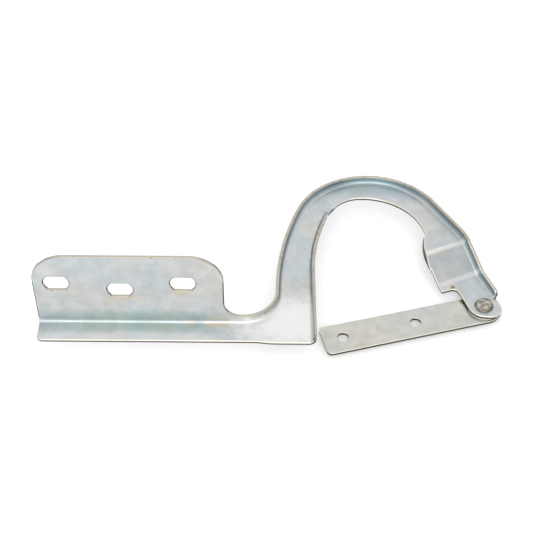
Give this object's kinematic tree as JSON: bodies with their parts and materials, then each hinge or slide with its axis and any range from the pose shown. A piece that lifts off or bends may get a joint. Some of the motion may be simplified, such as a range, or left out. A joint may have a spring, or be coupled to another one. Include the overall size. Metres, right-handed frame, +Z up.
{
  "type": "gooseneck hinge",
  "caption": "Swan-neck hinge pressed from sheet steel: an upright slotted plate, a flanged gooseneck arm with a dropped end tab, and a flat drilled strap riveted under the tab.",
  "frame": {"origin": "midway between the centres of the plate's two outer slots, on the plate's rear face", "axes": "+X along the plate towards the gooseneck; +Y out of the plate's rear face, towards the arch; +Z up the plate, parallel to the pivot"},
  "size_m": [0.2655, 0.1355, 0.0672],
  "materials": {
    "plated_arm": "bright zinc plating, satin",
    "plated_strap": "zinc plating, slightly matt and warm",
    "rivet_steel": "dark plain steel, hammered head",
    "washer_plastic": "matt"
  },
  "bodies": {
    "arm": {"gooseneck_arm": "plated_arm", "pivot_rivet": "rivet_steel", "friction_washer": "washer_plastic"},
    "strap": {"strap_leaf": "plated_strap"}
  },
  "joints": [
    {"name": "strap_hinge", "type": "hinge", "parent": "arm", "child": "strap", "pos_m": [0.2073, 0.0199, -0.04295], "axis": [0, 0, 1], "range_deg": [-18, 95]}
  ]
}
